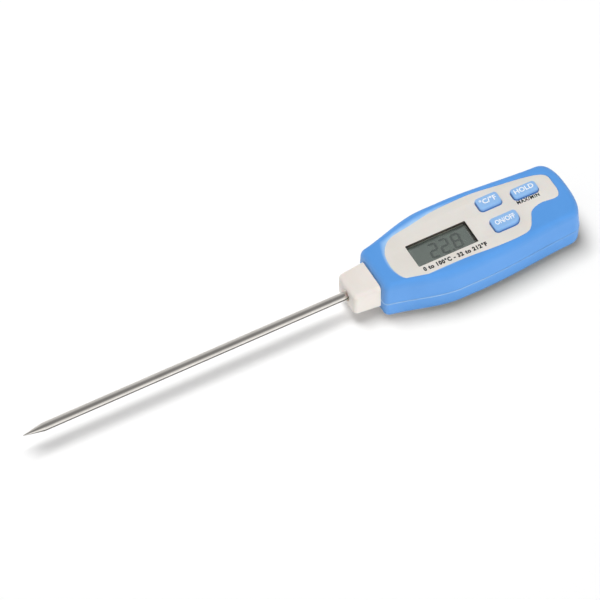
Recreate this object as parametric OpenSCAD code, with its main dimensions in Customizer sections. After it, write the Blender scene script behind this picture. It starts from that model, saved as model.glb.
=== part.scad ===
// Digital stem thermometer: moulded grip with a display and three keys, a square collar and a steel stem.
// Frame: +X runs from the stem's point to the tail of the grip, +Z out of the face,
// Z = 0 is the flat back it lies on, and X = 0 is half way along the whole length.

/* [Stem] */
// Free length of the stem, from the collar to the point
probe_l = 120; // [80:1:160]
// Diameter of the stem
probe_d = 3; // [2.6:0.1:3.6]
// Wall of the stem's tube
probe_wall = 0.3; // [0.2:0.05:0.4]
// How much smaller the radius of the stem's turned-down end in the collar is
shank_step = 0.2; // [0.16:0.01:0.24]
// How far that end shows before the collar
shank_show = 0.5; // [0.3:0.1:1]
// Length of the ground point
tip_l = 7.5; // [5:0.5:10]
// How far the stem's axis lies above half the grip's height
axis_rise = 0.2; // [0:0.1:0.4]

/* [Collar] */
// Length of the collar outside the grip
collar_l = 9.5; // [7:0.5:14]
// Width of the collar where it meets the grip
collar_w = 12.8; // [11.5:0.1:13.6]
// Height of the collar where it meets the grip
collar_h = 10.6; // [9.6:0.1:11.4]
// Taper of the collar: how much narrower each side is at the stem end
collar_taper = 0.6; // [0.2:0.1:1.2]
// Radius on the collar's edges
collar_r = 1.5; // [0.8:0.1:2]
// Diameter of the recess round the stem
collar_recess_d = 4.2; // [4:0.1:5]
// Depth of the recess round the stem
collar_recess_t = 1.2; // [0.6:0.1:2]

/* [Grip] */
// Length of the grip
body_l = 74; // [74:0.5:84]
// Height of the grip
body_h = 16.6; // [16.4:0.1:17.6]
// How far the parting line lies below half the grip's height
part_drop = 0.9; // [0.8:0.1:1.5]
// Width at the collar end
neck_w = 18.5; // [17.6:0.1:19.4]
// Width at the widest place
grip_w = 30.4; // [29.6:0.1:32]
// Width near the tail
tail_w = 25; // [24.2:0.1:26.6]
// Length over which the neck flares out
flare_l = 26; // [22:0.5:27]
// Where the grip starts to narrow towards the tail
taper_at = 33; // [30:0.5:38]
// Bulge of the flare beyond a plain blend
flare_bulge = 4.4; // [3.6:0.1:5]
// Radius of the corners at the collar end
neck_r = 1.5; // [1:0.1:2]
// Depth of the rounded tail
tail_round = 5.5; // [4:0.1:7]
// Wall of both shells
wall = 1.8; // [1.6:0.05:2]
// Thickness of the front cover over the face panel
top_wall = 1.8; // [1.6:0.05:2]
// Thickness of the rear cover's floor
floor_t = 1.8; // [1.5:0.05:2]
// Width of the rounded top edge, seen from above
top_edge_w = 2.2; // [1.6:0.1:2.6]
// Height of the rounded top edge
top_edge_h = 3; // [2:0.1:4]
// Width of the rounded bottom edge
base_edge_w = 2.4; // [1.8:0.1:2.8]
// Height of the rounded bottom edge
base_edge_h = 2.6; // [1.8:0.1:3.4]
// How far the side walls lean in above and below the parting line
side_draft = 0.35; // [0.1:0.05:0.6]
// Height of the tongue that locates the two shells
tongue_h = 1.2; // [0.8:0.1:1.6]

/* [Face panel] */
// How deep the white face lies below the blue rim
panel_recess = 0.3; // [0.1:0.05:0.5]
// Thickness of the panel's inner plate
plate_t = 1.3; // [1:0.1:1.4]
// Distance of the panel's round end from the collar end of the grip
panel_x = 6.1; // [5.6:0.1:6.8]
// Rim beside the panel on the far side, at the keys
rim_far = 3; // [2.8:0.1:3.6]
// Rim beside the panel on the near side
rim_near = 3; // [2.8:0.1:3.6]
// Rim between the panel's lobe and the tail
rim_tail = 4.5; // [4.2:0.1:5.4]
// Where the panel's lower edge steps up to the lobe, as a share of the panel's length
step_at = 0.803; // [0.797:0.001:0.812]
// Lower edge of the lobe, below the grip's middle line
lobe_y = 2.5; // [2.1:0.1:2.9]

/* [Display] */
// Length of the display window, as a share of the grip's length
window_share = 0.301; // [0.28:0.001:0.31]
// Width of the display window
window_w = 9.6; // [8:0.1:10.2]
// Window's middle from the collar end, as a share of the grip's length
window_at = 0.342; // [0.338:0.001:0.346]
// Window's middle below the grip's middle line, as a share of its width
window_side = 0.059; // [0.046:0.001:0.072]
// Depth of the window's opening
window_depth = 1.2; // [1:0.05:1.4]
// Thickness of the clear window
lens_t = 0.7; // [0.5:0.05:0.8]
// Seat of the clear window all round its opening
lens_lip = 0.9; // [0.7:0.05:1.1]
// Thickness of the adhesive ring over the clear window
tape_t = 0.1; // [0.05:0.01:0.15]
// How much longer the display glass is than the window
glass_more = 2.7; // [2.4:0.1:2.9]
// Width of the display glass
glass_w = 12.4; // [12:0.1:12.6]
// Thickness of the display glass
glass_t = 1.6; // [1.2:0.1:1.7]
// Wall of the frame round the display glass
frame_wall = 0.8; // [0.6:0.05:0.9]
// Width of each elastomer contact strip
strip_w = 1.8; // [1.4:0.1:2.2]

/* [Keys] */
// Length of the unit key, as a share of the grip's length
unit_share = 0.111; // [0.1:0.001:0.115]
// Width of the unit key
unit_w = 5.2; // [4.6:0.1:5.6]
// Unit key's middle from the collar end, as a share of the grip's length
unit_at = 0.635; // [0.632:0.001:0.638]
// Unit key's middle above the grip's middle line, as a share of its width
unit_side = 0.191; // [0.186:0.001:0.2]
// Length of the hold key, as a share of the grip's length
hold_share = 0.124; // [0.115:0.001:0.124]
// Width of the hold key
hold_w = 4.4; // [4:0.1:4.6]
// Hold key's middle from the collar end, as a share of the grip's length
hold_at = 0.805; // [0.8:0.001:0.805]
// Hold key's middle above the grip's middle line, as a share of its width
hold_side = 0.138; // [0.136:0.001:0.15]
// Length of the power key, as a share of the grip's length
power_share = 0.132; // [0.122:0.001:0.135]
// Width of the power key
power_w = 5.6; // [5:0.1:5.8]
// Power key's middle from the collar end, as a share of the grip's length
power_at = 0.649; // [0.643:0.001:0.651]
// Power key's middle below the grip's middle line, as a share of its width
power_side = 0.128; // [0.125:0.001:0.14]
// Radius of the power key's one large corner
power_round = 3; // [2:0.1:4]
// Radius of the other key corners
key_r = 1.3; // [0.9:0.1:1.8]
// How far the keys stand out of the face
key_rise = 1; // [0.8:0.1:1.4]
// Travel of a key
key_travel = 0.6; // [0.4:0.05:0.7]
// Lip round the foot of each key, under the panel
key_lip = 0.6; // [0.5:0.05:0.6]
// Thickness of that foot
key_foot_t = 1; // [0.8:0.1:1.2]
// Thickness of the keypad's flat web
mat_t = 0.6; // [0.4:0.05:0.7]
// Thickness of a key's collapsing skirt
skirt_t = 0.5; // [0.3:0.05:0.6]
// How far a skirt spreads beyond the key's foot
skirt_spread = 0.8; // [0.6:0.05:0.8]
// Diameter of a contact pill
pill_d = 3; // [2:0.1:3.6]
// Thickness of a contact pill
pill_t = 0.4; // [0.3:0.05:0.5]

/* [Circuit board] */
// Thickness of the board
board_t = 1; // [0.8:0.1:1.2]
// Start of the board, from the collar end of the grip
board_x = 11.2; // [11:0.1:11.6]
// Gap between the board's end and the rear screw bosses
board_end_gap = 0.2; // [0.2:0.05:0.3]
// Gap between the panel's plate and the board
board_gap = 3.3; // [3.2:0.05:3.6]
// Diameter of the board screws
board_screw_d = 1.6; // [1.4:0.1:1.8]
// Length of the board screws under the head
board_screw_l = 3.6; // [3:0.1:4]
// Diameter of the board screws' heads
board_head_d = 3; // [2.6:0.1:3.2]
// Height of the board screws' heads
board_head_h = 0.9; // [0.6:0.1:1]

/* [Battery] */
// Diameter of the button cell
cell_d = 11.6; // [11:0.1:11.7]
// Height of the button cell, as a share of the grip's height
cell_share = 0.325; // [0.3:0.005:0.33]
// Battery's middle from the collar end, as a share of the grip's length
cell_at = 0.689; // [0.68:0.001:0.7]
// Diameter of the battery cap
cap_d = 17; // [16.8:0.1:17.2]
// Thickness of the battery cap's disc
cap_t = 1.2; // [1.1:0.05:1.25]
// How deep the cap lies below the back
cap_recess = 0.3; // [0.2:0.05:0.4]
// Thickness of the cap's cup, under and beside the cell
cup_t = 0.8; // [0.7:0.05:0.9]
// Angle through which the cap turns to free its lugs
cap_turn = 60; // [50:5:70]
// Angle that each lug spans
lug_span = 30; // [24:2:34]
// Length of the coin slot
coin_l = 11; // [8:0.5:13]
// Width of the coin slot
coin_w = 1.6; // [1.2:0.1:2]
// Depth of the coin slot
coin_t = 0.7; // [0.5:0.05:0.8]
// Thickness of the sealing ring
seal_d = 0.9; // [0.8:0.05:0.9]
// Thickness of the sheet of the cell contacts
contact_t = 0.25; // [0.15:0.05:0.3]
// Width of the cell contacts
contact_w = 4; // [3:0.1:5]

/* [Housing screws] */
// Diameter of the housing screws
screw_d = 2; // [1.8:0.1:2.2]
// Length of the housing screws under the head
screw_l = 8; // [7:0.5:9]
// Diameter of the housing screws' heads
screw_head_d = 3.8; // [3.4:0.1:4]
// Height of the housing screws' heads
screw_head_h = 1.4; // [1:0.1:1.6]
// Depth of the holes over the screw heads
screw_sink = 1.2; // [0.8:0.1:1.4]
// Outer diameter of the screw bosses
boss_d = 4.2; // [4:0.1:4.4]
// Distance of the two front bosses from the collar end of the grip
boss_front_x = 8.7; // [8.6:0.1:8.9]
// Distance of the two rear bosses from the tail
boss_rear_x = 5.6; // [5.2:0.1:5.7]
// Distance of the bosses from the grip's middle line
boss_y = 5.6; // [5.2:0.1:5.8]

/* [Clearances] */
// Play between fixed pieces
fixed_gap = 0.1; // [0.05:0.01:0.15]
// Play round the keys
key_gap = 0.2; // [0.15:0.01:0.3]
// Play between the battery cap and the rear cover
cap_gap = 0.15; // [0.1:0.01:0.2]
// Radial play of the stem in its collar
stem_gap = 0.01; // [0.01:0.01:0.03]

/* [Hidden] */
$fn = 48;

blue = [0.36, 0.63, 0.94];
white = [0.89, 0.87, 0.84];
key_blue = [0.58, 0.76, 0.93];
steel = [0.72, 0.72, 0.73];
black = [0.12, 0.12, 0.13];
green = [0.1, 0.35, 0.2];
gold = [0.83, 0.68, 0.35];
amber = [0.75, 0.6, 0.35];

// where the collar end of the grip lies along X
total_l = probe_l + collar_l + body_l;
grip_x = total_l / 2 - body_l;
axis_z = body_h / 2 + axis_rise;
part_z = body_h / 2 - part_drop;

// places and lengths on the grip, from its length and width
window_l = window_share * body_l;
window_x = window_at * body_l;
window_y = window_side * grip_w;
glass_l = window_l + glass_more;
unit_l = unit_share * body_l;
unit_x = unit_at * body_l;
unit_y = unit_side * grip_w;
hold_l = hold_share * body_l;
hold_x = hold_at * body_l;
hold_y = hold_side * grip_w;
power_l = power_share * body_l;
power_x = power_at * body_l;
power_y = power_side * grip_w;
cell_x = cell_at * body_l;
shank_r = probe_d / 2 - shank_step;

// heights, from the face down
face_z = body_h - panel_recess;
ceiling_z = body_h - top_wall;
plate_z = ceiling_z - plate_t;
lens_z = face_z - window_depth - tape_t - lens_t;
glass_z = lens_z - fixed_gap - glass_t;
board_top = plate_z - board_gap;
board_z = board_top - board_t;
mat_top = board_top + mat_t;
foot_z = plate_z - key_foot_t - 2 * key_gap;
key_top = face_z + key_rise;
// what stays open under a pill when its key is fully down
pill_slack = 0.05;
pill_z = board_top + key_travel + pill_slack;

// heights, from the back up
cell_h = cell_share * body_h;
cap_top = cap_recess + cap_t;
cup_floor = cap_top + cup_t;
cell_top = cup_floor + cell_h;
ledge_z = cap_top + seal_d + 0.05;
ledge_t = 1;
lug_z = ledge_z + ledge_t + cap_gap;
lug_h = 0.9;
chamber_z = lug_z + lug_h + cap_gap;
well_top = cell_top - 0.1;

// radii round the battery
cup_r = cell_d / 2 + 0.2;
hub_r = cup_r + cup_t + 0.2;
lug_r = cap_d / 2 - 0.3;
well_r = cell_d / 2 + 0.3;
tower_r = cap_d / 2 + 1.5;

// a small amount by which a cut reaches past what it cuts
past = 0.5;

// ---- plan outline of the grip --------------------------------------------------------------------

function blend(t) = 3 * t * t - 2 * t * t * t;
function flare(t) = neck_w / 2 + (grip_w - neck_w) / 2 * blend(t)
    + flare_bulge * (t * t * t - 2 * t * t + t);
function narrow(t) = grip_w / 2 - (grip_w - tail_w) / 2 * blend(t);

// half width at a distance x from the collar end, without the rounded ends
function half_w(x) = x < flare_l ? flare(x / flare_l)
    : narrow(max(0, (x - taper_at) / (body_l - taper_at)));

// share of the half width that is left inside the rounded tail, a superellipse of this power
tail_power = 2.5;
function tail_share(x) = let (s = max(0, (x - body_l + tail_round) / tail_round))
    pow(max(0, 1 - pow(s, tail_power)), 1 / tail_power);
function neck_loss(x) = x < neck_r ? neck_r - sqrt(neck_r * neck_r - (neck_r - x) * (neck_r - x)) : 0;
function side_w(x) = half_w(x) * tail_share(x) - neck_loss(x);

side_n = 44;
far_side = [for (i = [0:side_n]) let (x = body_l / 2 * (1 - cos(180 * i / side_n)))
    [x, i == side_n ? 0 : side_w(x)]];
near_side = [for (i = [side_n - 1:-1:0]) [far_side[i][0], -far_side[i][1]]];
plan = concat(far_side, near_side);
plan_n = len(plan);

// the outline drawn in by d all round, at a height z
function ring(d, z) = [for (p = plan)
    [body_l / 2 + (p[0] - body_l / 2) * (1 - 2 * d / body_l), p[1] * (1 - 2 * d / grip_w), z]];

function other(i) = i == side_n ? side_n : 2 * side_n - i;
function cap_faces(base) = [for (i = [0:side_n - 1]) each i == side_n - 1
    ? [[base + i, base + i + 1, base + other(i)]]
    : [[base + i, base + i + 1, base + other(i + 1)], [base + i, base + other(i + 1), base + other(i)]]];
function wall_faces(rings) = [for (k = [0:rings - 2], i = [0:plan_n - 1])
    let (a = k * plan_n + i, b = k * plan_n + (i + 1) % plan_n)
    each [[a, a + plan_n, b + plan_n], [a, b + plan_n, b]]];
function turned(faces) = [for (f = faces) [f[2], f[1], f[0]]];

// solid between rings that are given as [inset, height] from the bottom up
module loft(levels) {
    points = [for (l = levels) each ring(l[0], l[1])];
    polyhedron(points, concat(cap_faces((len(levels) - 1) * plan_n), wall_faces(len(levels)),
                              turned(cap_faces(0))), convexity = 6);
}

edge_n = 6;
cover_levels = concat([[0, part_z]],
    [for (i = [0:edge_n]) let (a = 90 * i / edge_n)
        [side_draft + top_edge_w * (1 - cos(a)), body_h - top_edge_h * (1 - sin(a))]]);
base_levels = concat(
    [for (i = [edge_n:-1:0]) let (a = 90 * i / edge_n)
        [side_draft + base_edge_w * (1 - cos(a)), base_edge_h * (1 - sin(a))]],
    [[0, part_z]]);

module plan_2d(inset = 0) offset(delta = -inset) polygon(plan);
module at_grip() translate([grip_x, 0, 0]) children();

// ---- outline of the white face -------------------------------------------------------------------

lobe_x = body_l - rim_tail;
panel_l = lobe_x - panel_x;
step_x = panel_x + step_at * panel_l;
function along(t) = panel_x + t * panel_l;
function far_pt(t, m) = [along(t), half_w(along(t)) - m * rim_far];
function near_pt(t, m) = [along(t), m * rim_near - half_w(along(t))];
function end_pt(t, y) = [along(t), y * grip_w];
function step_pt(t, y) = [step_x + t * panel_l, -y * lobe_y];
// from the round end along the far side, round the lobe and back by the step and the near side
face_points = [
    end_pt(0, -0.059), end_pt(0.019, 0.138), far_pt(0.085, 1.33), far_pt(0.22, 1.53), far_pt(0.345, 1.27),
    far_pt(0.47, 1.1), far_pt(0.6, 0.97), far_pt(0.75, 1.1), far_pt(0.865, 1.2), far_pt(0.953, 1.5),
    end_pt(0.994, 0.21), end_pt(1, 0.105), end_pt(0.997, -0.033), step_pt(0.165, 1.16), step_pt(0.079, 1),
    step_pt(0.014, 1.56), step_pt(-0.013, 2.64), step_pt(-0.039, 3.76), near_pt(0.715, 0.93),
    near_pt(0.56, 1.17), near_pt(0.377, 1.53), near_pt(0.22, 1.37), near_pt(0.11, 0.77),
    end_pt(0.046, -0.299), end_pt(0.013, -0.21)];

// smooth closed curve through the points, with its tangents along the neighbours' chord
function curve_at(p, i, t) = let (n = len(p), a = p[(i + n - 1) % n], b = p[i], c = p[(i + 1) % n],
    d = p[(i + 2) % n])
    0.5 * (2 * b + (c - a) * t + (2 * a - 5 * b + 4 * c - d) * t * t + (3 * b - a - 3 * c + d) * t * t * t);
face_steps = 4;
face_outline = [for (i = [0:len(face_points) - 1], k = [0:face_steps - 1])
    curve_at(face_points, i, k / face_steps)];

module face_2d(grow = 0) offset(delta = grow) polygon(face_outline);

// ---- small shared shapes -------------------------------------------------------------------------

// rectangle with round corners; the corner at +X, -Y has the radius r2
function corner(x, y, r, a) = [for (i = [0:6]) [x + r * cos(a + 15 * i), y + r * sin(a + 15 * i)]];
module soft_rect(l, w, r, r2) polygon(concat(
    corner(l / 2 - r, w / 2 - r, r, 0), corner(r - l / 2, w / 2 - r, r, 90),
    corner(r - l / 2, r - w / 2, r, 180), corner(l / 2 - r2, r2 - w / 2, r2, 270)));

// plain block that stands on z, given its middle and its sizes
module block(x, y, z, l, w, h) translate([x - l / 2, y - w / 2, z]) cube([l, w, h]);

// upright round bar from z1 to z2
module post(x, y, z1, z2, d) translate([x, y, z1]) cylinder(d = d, h = z2 - z1);

// bar along X from x1 to x2
module rod(x1, x2, y, z, d) translate([x1, y, z]) rotate([0, 90, 0]) cylinder(d = d, h = x2 - x1);

// wedge of a disc, its middle along +X
module sector(span, r, z1, z2) translate([0, 0, z1]) linear_extrude(z2 - z1)
    polygon([[0, 0], [r * cos(span / 2), -r * sin(span / 2)], [r / cos(span / 2), 0] ,
             [r * cos(span / 2), r * sin(span / 2)]]);

// copies at the four housing screws, and at the three board screws
screw_places = [for (x = [boss_front_x, body_l - boss_rear_x], y = [-boss_y, boss_y]) [x, y]];
board_post_d = board_screw_d + 1.6;
board_post_x = window_x + 0.41 * window_l;
board_post_reach = glass_w / 2 + fixed_gap + frame_wall + board_post_d / 2;
board_places = [[board_post_x, board_post_reach + 0.6 - window_y],
                [board_post_x, -board_post_reach - 0.3 - window_y],
                [hold_x + 0.26 * hold_l, -1.25 * hold_y]];
module at_screws() for (p = screw_places) translate([p[0], p[1], 0]) children();
module at_board_screws() for (p = board_places) translate([p[0], p[1], 0]) children();

// opening in the end walls for the collar's tenon, widened by gap
tenon_w = 8;
tenon_flange_w = 11;
tenon_flange_h = 9.8;
tenon_flange_t = 2;
module neck_opening(gap) translate([-past, -tenon_w / 2 - gap, axis_z - tenon_w / 2 - gap])
    cube([wall + 2 * past, tenon_w + 2 * gap, tenon_w + 2 * gap]);

// ---- shells --------------------------------------------------------------------------------------

module front_cover() color(blue) at_grip() difference() {
    loft(cover_levels);
    translate([0, 0, part_z - past]) linear_extrude(ceiling_z - part_z + past) plan_2d(wall);
    translate([0, 0, part_z - past]) linear_extrude(tongue_h + fixed_gap + past) plan_2d(wall / 2);
    translate([0, 0, ceiling_z - past]) linear_extrude(top_wall + 2 * past) face_2d(fixed_gap);
    neck_opening(fixed_gap);
}

module rear_cover() color(blue) at_grip() difference() {
    union() {
        difference() {
            loft(base_levels);
            translate([0, 0, floor_t]) linear_extrude(part_z) plan_2d(wall);
        }
        translate([0, 0, part_z - past]) linear_extrude(tongue_h + past) difference() {
            plan_2d(wall / 2 + fixed_gap);
            plan_2d(wall);
        }
        translate([cell_x, 0, floor_t - past]) cylinder(r = tower_r, h = well_top - floor_t + past);
        at_screws() post(0, 0, floor_t - past, part_z - fixed_gap, screw_head_d + 1.8);
    }
    neck_opening(fixed_gap);
    at_screws() {
        post(0, 0, -past, screw_sink + screw_head_h, screw_head_d + 0.3);
        post(0, 0, -past, part_z + past, screw_d + 0.3);
    }
    translate([cell_x, 0, 0]) {
        post(0, 0, -past, ledge_z, cap_d + 2 * cap_gap);
        post(0, 0, -past, well_top + past, 2 * well_r);
        post(0, 0, -past, chamber_z, 2 * (hub_r + cap_gap));
        post(0, 0, lug_z - cap_gap, chamber_z, 2 * (lug_r + cap_gap));
        // ways in for the lugs, where they stand once the cap is turned
        intersection() {
            post(0, 0, ledge_z - past, chamber_z, 2 * (lug_r + cap_gap));
            for (a = [0, 180]) rotate([0, 0, 90 + cap_turn + a])
                sector(lug_span + 8, tower_r, 0, chamber_z);
        }
        // way up for the contact at the cell's side
        block(well_r + 0.6, 0, chamber_z, 2.4, contact_w + 0.6, well_top);
    }
}

module face_panel() color(white) at_grip() difference() {
    union() {
        translate([0, 0, plate_z]) linear_extrude(plate_t) intersection() {
            plan_2d(wall + fixed_gap);
            translate([wall + tenon_flange_t + 0.5, -grip_w]) square([body_l, 2 * grip_w]);
        }
        translate([0, 0, ceiling_z - past]) linear_extrude(face_z - ceiling_z + past) face_2d(0);
        at_screws() post(0, 0, part_z, plate_z + past, boss_d);
        at_board_screws() post(0, 0, board_top, plate_z + past, board_post_d);
    }
    at_screws() post(0, 0, part_z - past, screw_sink + screw_head_h + screw_l + 0.4, screw_d + 0.02);
    at_board_screws() post(0, 0, board_top - past, board_z + board_screw_l + 0.4, board_screw_d + 0.02);
    block(window_x, -window_y, plate_z - past, window_l, window_w, body_h);
    block(window_x, -window_y, plate_z - past, lens_l + 2 * fixed_gap, lens_w + 2 * fixed_gap,
          lens_z + lens_t + tape_t - plate_z + past);
    block(window_x, -window_y, plate_z - past, glass_l + 2 * fixed_gap, glass_w + 2 * fixed_gap,
          lens_z - plate_z + past);
    for (k = keys) translate([k[0], k[1], plate_z - past]) linear_extrude(body_h)
        soft_rect(k[2] + 2 * key_gap, k[3] + 2 * key_gap, key_r + key_gap, k[4] + key_gap);
}

// ---- stem and collar -----------------------------------------------------------------------------

module collar_slab(x, w, h) for (y = [-1, 1], z = [-1, 1])
    translate([x, y * (w / 2 - collar_r), axis_z + z * (h / 2 - collar_r)]) sphere(collar_r, $fn = 32);

module probe_collar() color(white) at_grip() difference() {
    union() {
        hull() {
            collar_slab(collar_r - collar_l, collar_w - 2 * collar_taper, collar_h - 2 * collar_taper);
            intersection() {
                collar_slab(0, collar_w, collar_h);
                block(-collar_l, 0, 0, 2 * collar_l, 2 * collar_w, body_h);
            }
        }
        block(wall / 2, 0, axis_z - tenon_w / 2, wall + 2 * fixed_gap + 0.02, tenon_w, tenon_w);
        block(wall + fixed_gap + tenon_flange_t / 2, 0, axis_z - tenon_flange_h / 2,
              tenon_flange_t, tenon_flange_w, tenon_flange_h);
    }
    rod(-collar_l - past, wall + tenon_flange_t + 2 * past, 0, axis_z, 2 * (shank_r + stem_gap));
    rod(-collar_l - past, collar_recess_t - collar_l, 0, axis_z, collar_recess_d);
}

tip_x = -collar_l - probe_l;
bore_x = tip_x + tip_l + 0.5;
tube_end = wall + tenon_flange_t + 1.6;
bore_d = probe_d - 2 * probe_wall;
shank_x = probe_l - shank_show;
shank_wall = 0.1;

module probe_tube() color(steel) at_grip() difference() {
    translate([tip_x, 0, axis_z]) rotate([0, 90, 0]) rotate_extrude()
        polygon([[0, 0], [0.15, 0.05], [probe_d / 2, tip_l], [probe_d / 2, shank_x],
                 [shank_r, shank_x], [shank_r, tube_end - tip_x], [0, tube_end - tip_x]]);
    rod(bore_x, tip_x + shank_x - 1, 0, axis_z, bore_d);
    rod(bore_x, tube_end + past, 0, axis_z, 2 * (shank_r - shank_wall));
}

bead_d = 1.4;
bead_x = bore_x + 1.4;
lead_d = 0.6;
lead_y = 0.5;
lead_z = min(axis_z, board_z - lead_d / 2 - fixed_gap);
lead_end = board_x + 5;
module bead_ball(grow = 0) translate([bead_x, 0, axis_z]) sphere(d = bead_d + grow);
module lead_pair() for (y = [-lead_y, lead_y]) {
    rod(bead_x, lead_end, y, lead_z, lead_d);
    post(lead_end, y, lead_z, board_z, lead_d + 0.2);
}

module thermistor_bead() color("sienna") at_grip() bead_ball();

module thermistor_leads() color("tomato") at_grip() difference() {
    lead_pair();
    bead_ball();
}

potting_l = 7;
module tip_potting() color("dimgray") at_grip() difference() {
    rod(bore_x, bore_x + potting_l, 0, axis_z, bore_d - 0.02);
    bead_ball(0.02);
    for (y = [-lead_y, lead_y]) rod(bead_x, lead_end, y, lead_z, lead_d + 0.02);
}

// ---- display -------------------------------------------------------------------------------------

lens_l = window_l + 2 * lens_lip;
lens_w = window_w + 2 * lens_lip;

module display_window() color([0.8, 0.85, 0.9, 0.5]) at_grip()
    block(window_x, -window_y, lens_z, lens_l, lens_w, lens_t);

module window_tape() color(black) at_grip() difference() {
    block(window_x, -window_y, lens_z + lens_t, lens_l, lens_w, tape_t);
    block(window_x, -window_y, lens_z, window_l, window_w, body_h);
}

module display_glass() color([0.5, 0.54, 0.5]) at_grip()
    block(window_x, -window_y, glass_z, glass_l, glass_w, glass_t);

module display_frame() color("whitesmoke") at_grip() difference() {
    block(window_x, -window_y, board_top, glass_l + 2 * (fixed_gap + frame_wall),
          glass_w + 2 * (fixed_gap + frame_wall), plate_z - fixed_gap - board_top);
    block(window_x, -window_y, 0, glass_l + 2 * fixed_gap, glass_w + 2 * fixed_gap, body_h);
}

module contact_strips() color("dimgray") at_grip() for (y = [-1, 1])
    block(window_x, y * (glass_w - strip_w) / 2 - window_y, board_top,
          glass_l - 1, strip_w, glass_z - board_top);

// ---- circuit board -------------------------------------------------------------------------------

board_end = body_l - boss_rear_x - boss_d / 2 - board_end_gap;
module board_2d(inset = 0) intersection() {
    plan_2d(wall + 0.6 + inset);
    translate([board_x + inset, -grip_w]) square([board_end - board_x - 2 * inset, 2 * grip_w]);
}

module circuit_board() color(green) at_grip() difference() {
    translate([0, 0, board_z]) linear_extrude(board_t) board_2d();
    at_board_screws() post(0, 0, 0, body_h, board_screw_d + 0.3);
}

// parts under the board
blob_d = 8;
blob_t = 1.2;
blob_r = (blob_d * blob_d / 4 + blob_t * blob_t) / (2 * blob_t);
module controller_blob() color(black) at_grip() intersection() {
    translate([window_x, 0, board_z - blob_t + blob_r]) sphere(blob_r);
    post(window_x, 0, board_z - blob_t - past, board_z, 2 * blob_d);
}

crystal_d = 2;
crystal_l = 6;
crystal_y = 7;
pin_d = 0.3;
module quartz_crystal() color(steel) at_grip() {
    rod(window_x - crystal_l / 2, window_x + crystal_l / 2, crystal_y, board_z - crystal_d / 2, crystal_d);
    for (y = [-0.2, 0.2] * crystal_d) rod(window_x + 0.48 * crystal_l, window_x + 0.9 * crystal_l,
                                          crystal_y + y, board_z - pin_d / 2, pin_d);
}

chip_l = 2;
chip_w = 1.25;
chip_h = 0.8;
chip_y = 7.4;
chip_pitch = 5;
module board_capacitors() color(amber) at_grip() for (i = [-1.5:1.5])
    block(window_x + i * chip_pitch, -chip_y, board_z - chip_h, chip_l, chip_w, chip_h);

resistor_l = 1.6;
resistor_w = 0.8;
resistor_h = 0.5;
resistor_y = 5;
resistor_pitch = 2.4;
module board_resistors() color(black) at_grip() for (i = [-2.5:2.5])
    block(window_x + i * resistor_pitch, -resistor_y, board_z - resistor_h,
          resistor_w, resistor_l, resistor_h);

// ---- keys ----------------------------------------------------------------------------------------

// middle x, middle y, length, width, radius of the odd corner
unit = [unit_x, unit_y, unit_l, unit_w, key_r];
hold = [hold_x, hold_y, hold_l, hold_w, key_r];
power = [power_x, -power_y, power_l, power_w, power_round];
keys = [unit, hold, power];
core_d = pill_d + 1;
edge_round = 0.5;
foot_top = foot_z + key_foot_t;

// outline of a key, grown on every side
module key_2d(k, grow) soft_rect(k[2] + 2 * grow, k[3] + 2 * grow, key_r + grow, k[4] + grow);
module at_key(k) at_grip() translate([k[0], k[1], 0]) children();

module key_cap(k) color(key_blue) at_key(k) {
    translate([0, 0, foot_z]) linear_extrude(key_foot_t) key_2d(k, key_lip);
    hull() {
        translate([0, 0, foot_top]) linear_extrude(key_top - foot_top - edge_round) key_2d(k, 0);
        translate([0, 0, foot_top]) linear_extrude(key_top - foot_top) key_2d(k, -edge_round);
    }
    post(0, 0, pill_z + pill_t, foot_z, core_d);
}

module key_pill(k) color(black) at_key(k) post(0, 0, pill_z, pill_z + pill_t, pill_d);

// wall that leans in from the web up to the key's foot, moved in by t
module skirt_form(k, t) hull() {
    translate([0, 0, mat_top - (t > 0 ? past : 0)]) linear_extrude(0.01 + (t > 0 ? past : 0))
        key_2d(k, key_lip + skirt_spread - t);
    translate([0, 0, foot_z - 0.01]) linear_extrude(0.01 + (t > 0 ? past : 0)) key_2d(k, key_lip - t);
}
module key_skirt(k) color(key_blue) at_key(k) difference() {
    skirt_form(k, 0);
    skirt_form(k, skirt_t);
}

mat_inset = 0.3;
mat_x = window_x + glass_l / 2 + fixed_gap + frame_wall + 0.4;
module keypad_mat() color(key_blue) at_grip() difference() {
    translate([0, 0, board_top]) linear_extrude(mat_t) intersection() {
        board_2d(mat_inset);
        translate([mat_x, -power_y - power_w / 2 - key_lip - skirt_spread - 1]) square([body_l, grip_w]);
    }
    for (k = keys) translate([k[0], k[1], 0]) linear_extrude(body_h)
        key_2d(k, key_lip + skirt_spread - skirt_t);
    at_board_screws() post(0, 0, 0, body_h, board_post_d + 0.6);
}

module unit_key() key_cap(unit);
module unit_key_skirt() key_skirt(unit);
module unit_key_pill() key_pill(unit);
module hold_key() key_cap(hold);
module hold_key_skirt() key_skirt(hold);
module hold_key_pill() key_pill(hold);
module power_key() key_cap(power);
module power_key_skirt() key_skirt(power);
module power_key_pill() key_pill(power);

// ---- battery -------------------------------------------------------------------------------------

module at_cell() at_grip() translate([cell_x, 0, 0]) children();

module button_cell() color(steel) at_cell() post(0, 0, cup_floor, cell_top, cell_d);

// strip of sheet along points [x, z], of the contacts' width
module bent_strip(points) {
    for (i = [0:len(points) - 2]) let (a = points[i], b = points[i + 1], n = [b[0] - a[0], b[1] - a[1]],
                                       s = contact_t / norm(n), m = [-n[1] * s, n[0] * s])
        translate([0, contact_w / 2, 0]) rotate([90, 0, 0]) linear_extrude(contact_w)
            polygon([a, b, b + m, a + m]);
    for (i = [1:len(points) - 2]) translate([points[i][0], contact_w / 2, points[i][1]]) rotate([90, 0, 0])
        cylinder(r = contact_t, h = contact_w);
}

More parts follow.
